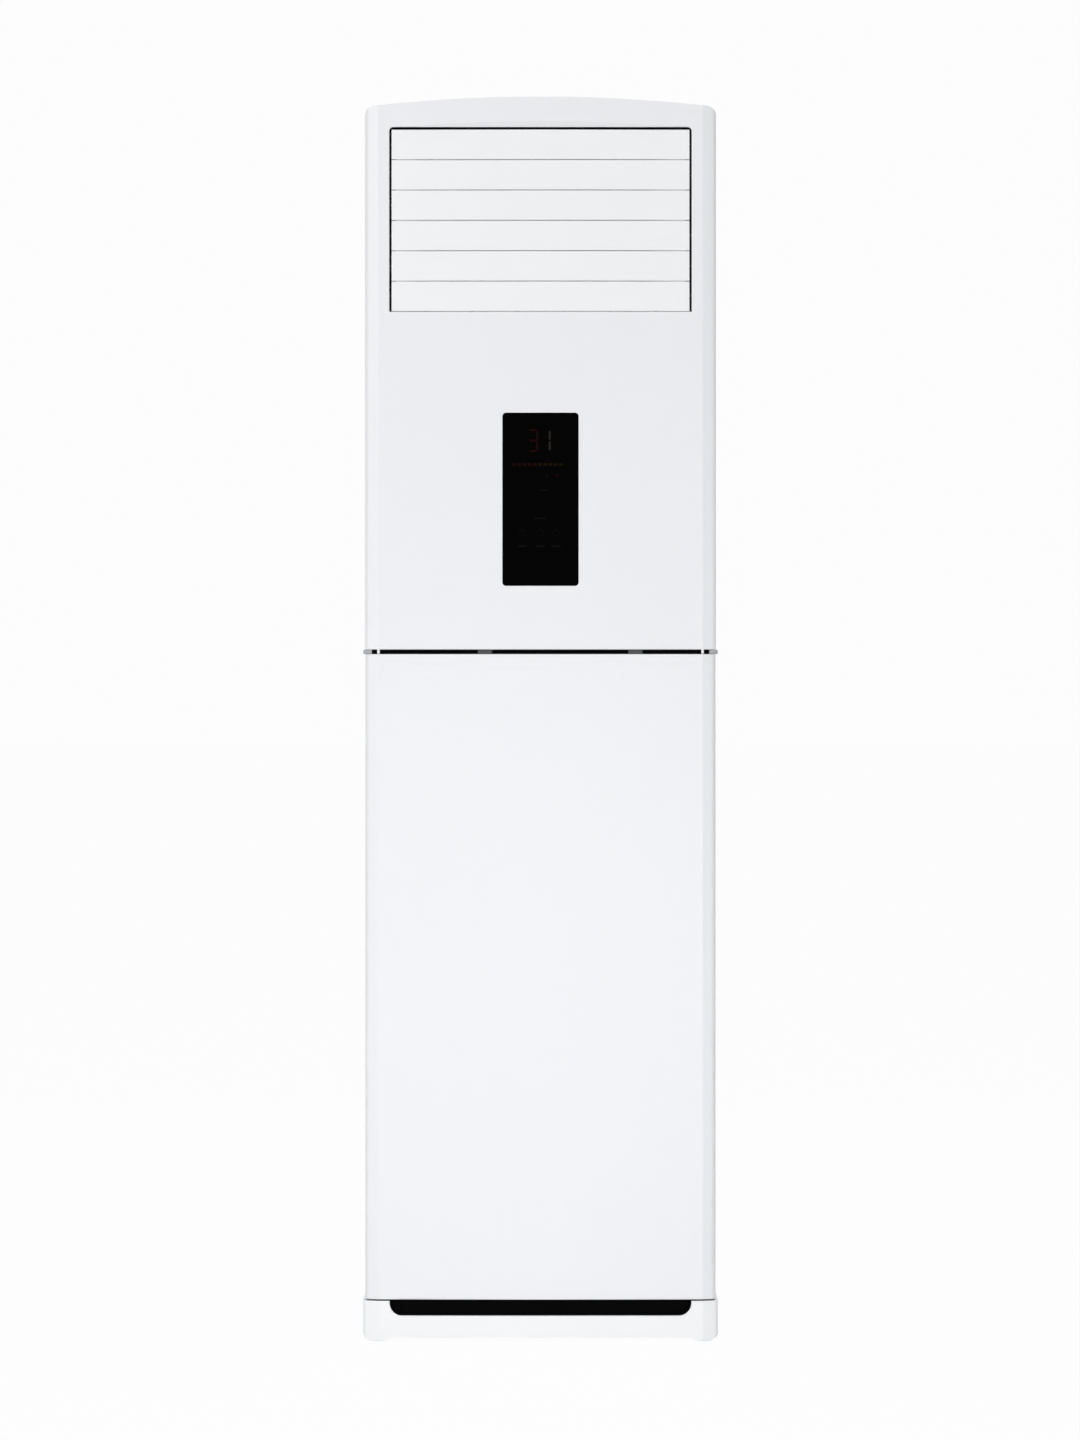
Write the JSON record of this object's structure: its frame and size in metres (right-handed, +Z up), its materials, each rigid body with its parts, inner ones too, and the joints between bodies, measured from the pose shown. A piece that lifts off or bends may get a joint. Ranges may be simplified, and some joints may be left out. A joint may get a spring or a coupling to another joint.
{
  "type": "floor standing air conditioner",
  "caption": "Tall floor standing air conditioner with a louvred outlet, a dark display window and a tilting lower front panel.",
  "frame": {"origin": "centre of the footprint on the floor", "axes": "+Z up along the height, front faces -Y, +X to the viewer's right"},
  "size_m": [0.505, 0.32, 1.77],
  "materials": {
    "white_gloss": "glossy white moulded plastic",
    "white_sheet": "satin white painted steel",
    "grey_sheet": "light grey painted steel",
    "silver_plastic": "silver painted plastic",
    "black_plastic": "black moulded plastic",
    "dark_plastic": "dark grey moulded plastic",
    "grey_plastic": "light grey moulded plastic",
    "duct_grey": "pale moulded duct",
    "display_black": "polished black window",
    "galvanised": "galvanised sheet",
    "motor_metal": "plated motor shell",
    "fin_aluminium": "bare fins",
    "copper": "copper tube",
    "board_green": "circuit board",
    "pipe_grey": "pale grey plastic pipe",
    "fan_plastic": "fan wheel plastic",
    "screw_steel": "plated steel",
    "filter_plastic": "filter net and frame",
    "black_rubber": "rubber"
  },
  "bodies": {
    "cabinet": {"foot_pads": "black_rubber", "base_plinth": "white_gloss", "base_pan": "galvanised", "rear_panel": "grey_sheet", "side_panel_left": "white_sheet", "side_panel_right": "white_sheet", "pipe_port_bush": "black_plastic", "wall_bracket": "galvanised", "top_cover": "white_gloss", "upper_front_panel": "white_gloss", "display_window": "display_black", "display_housing": "black_plastic", "outlet_frame": "dark_plastic", "louver_motor": "motor_metal", "vane_motor": "motor_metal", "duct_liner": "duct_grey", "front_baffle": "galvanised", "evaporator_fins": "fin_aluminium", "evaporator_tubes": "copper", "drain_pan": "duct_grey", "partition_deck": "galvanised", "fan_scroll": "galvanised", "fan_scroll_back": "galvanised", "inlet_ring": "galvanised", "fan_motor": "motor_metal", "motor_bracket": "galvanised", "filter_frame": "grey_plastic", "electrical_box": "galvanised", "electrical_box_cover": "galvanised", "main_board": "board_green", "gas_pipe": "copper", "liquid_pipe": "copper", "drain_pipe": "pipe_grey", "support_brackets": "galvanised", "hinge_sill": "black_plastic", "side_grilles": "grey_plastic", "waist_rail": "black_plastic", "waist_end_caps": "silver_plastic", "panel_catches": "dark_plastic", "fixing_screws": "screw_steel"},
    "louver_1": {"louver_1": "white_gloss"},
    "louver_2": {"louver_2": "white_gloss"},
    "louver_3": {"louver_3": "white_gloss"},
    "louver_4": {"louver_4": "white_gloss"},
    "louver_5": {"louver_5": "white_gloss"},
    "louver_6": {"louver_6": "white_gloss"},
    "louver_link": {"louver_link": "grey_plastic"},
    "vane_1": {"vane_1": "dark_plastic"},
    "vane_2": {"vane_2": "dark_plastic"},
    "vane_3": {"vane_3": "dark_plastic"},
    "vane_4": {"vane_4": "dark_plastic"},
    "vane_5": {"vane_5": "dark_plastic"},
    "vane_6": {"vane_6": "dark_plastic"},
    "vane_link": {"vane_link": "grey_plastic"},
    "fan": {"impeller": "fan_plastic", "motor_shaft": "screw_steel"},
    "lower_panel": {"lower_front_panel": "white_gloss", "strike_plates": "dark_plastic"},
    "filter_lower": {"air_filter_lower": "filter_plastic"},
    "filter_upper": {"air_filter_upper": "filter_plastic"}
  },
  "joints": [
    {"name": "louver_1_tilt", "type": "hinge", "parent": "cabinet", "child": "louver_1", "pos_m": [0, -0.145, 1.4862], "axis": [-1, 0, 0], "range_deg": [0, 110]},
    {"name": "louver_2_tilt", "type": "hinge", "parent": "cabinet", "child": "louver_2", "pos_m": [0, -0.145, 1.5294], "axis": [-1, 0, 0], "range_deg": [0, 110]},
    {"name": "louver_3_tilt", "type": "hinge", "parent": "cabinet", "child": "louver_3", "pos_m": [0, -0.145, 1.5726], "axis": [-1, 0, 0], "range_deg": [0, 110]},
    {"name": "louver_4_tilt", "type": "hinge", "parent": "cabinet", "child": "louver_4", "pos_m": [0, -0.145, 1.6158], "axis": [-1, 0, 0], "range_deg": [0, 110]},
    {"name": "louver_5_tilt", "type": "hinge", "parent": "cabinet", "child": "louver_5", "pos_m": [0, -0.145, 1.659], "axis": [-1, 0, 0], "range_deg": [0, 110]},
    {"name": "louver_6_tilt", "type": "hinge", "parent": "cabinet", "child": "louver_6", "pos_m": [0, -0.145, 1.7022], "axis": [-1, 0, 0], "range_deg": [0, 110]},
    {"name": "louver_link_swing", "type": "hinge", "parent": "louver_1", "child": "louver_link", "pos_m": [-0.2175, -0.13697, 1.49767], "axis": [-1, 0, 0], "range_deg": [-110, 0]},
    {"name": "vane_1_turn", "type": "hinge", "parent": "cabinet", "child": "vane_1", "pos_m": [-0.165, -0.098, 1.597], "axis": [0, 0, 1], "range_deg": [-35, 35]},
    {"name": "vane_2_turn", "type": "hinge", "parent": "cabinet", "child": "vane_2", "pos_m": [-0.099, -0.098, 1.597], "axis": [0, 0, 1], "range_deg": [-35, 35]},
    {"name": "vane_3_turn", "type": "hinge", "parent": "cabinet", "child": "vane_3", "pos_m": [-0.033, -0.098, 1.597], "axis": [0, 0, 1], "range_deg": [-35, 35]},
    {"name": "vane_4_turn", "type": "hinge", "parent": "cabinet", "child": "vane_4", "pos_m": [0.033, -0.098, 1.597], "axis": [0, 0, 1], "range_deg": [-35, 35]},
    {"name": "vane_5_turn", "type": "hinge", "parent": "cabinet", "child": "vane_5", "pos_m": [0.099, -0.098, 1.597], "axis": [0, 0, 1], "range_deg": [-35, 35]},
    {"name": "vane_6_turn", "type": "hinge", "parent": "cabinet", "child": "vane_6", "pos_m": [0.165, -0.098, 1.597], "axis": [0, 0, 1], "range_deg": [-35, 35]},
    {"name": "vane_link_swing", "type": "hinge", "parent": "vane_3", "child": "vane_link", "pos_m": [-0.033, -0.08, 1.4655], "axis": [0, 0, 1], "range_deg": [-35, 35]},
    {"name": "fan_spin", "type": "hinge", "parent": "cabinet", "child": "fan", "pos_m": [0, 0.05, 0.54], "axis": [0, -1, 0], "continuous": true},
    {"name": "lower_panel_tilt", "type": "hinge", "parent": "cabinet", "child": "lower_panel", "pos_m": [0, -0.148, 0.0685], "axis": [1, 0, 0], "range_deg": [0, 30]},
    {"name": "filter_lower_lift", "type": "slide", "parent": "cabinet", "child": "filter_lower", "axis": [0, 0, 1], "range_m": [0, 0.008]},
    {"name": "filter_upper_lift", "type": "slide", "parent": "cabinet", "child": "filter_upper", "axis": [0, 0, 1], "range_m": [0, 0.008]}
  ],
  "couplings": [
    {"joint": "louver_2_tilt", "follows": "louver_1_tilt", "ratio": 1},
    {"joint": "louver_3_tilt", "follows": "louver_1_tilt", "ratio": 1},
    {"joint": "louver_4_tilt", "follows": "louver_1_tilt", "ratio": 1},
    {"joint": "louver_5_tilt", "follows": "louver_1_tilt", "ratio": 1},
    {"joint": "louver_6_tilt", "follows": "louver_1_tilt", "ratio": 1},
    {"joint": "louver_link_swing", "follows": "louver_1_tilt", "ratio": -1},
    {"joint": "vane_1_turn", "follows": "vane_3_turn", "ratio": 1},
    {"joint": "vane_2_turn", "follows": "vane_3_turn", "ratio": 1},
    {"joint": "vane_4_turn", "follows": "vane_3_turn", "ratio": 1},
    {"joint": "vane_5_turn", "follows": "vane_3_turn", "ratio": 1},
    {"joint": "vane_6_turn", "follows": "vane_3_turn", "ratio": 1},
    {"joint": "vane_link_swing", "follows": "vane_3_turn", "ratio": -1}
  ]
}
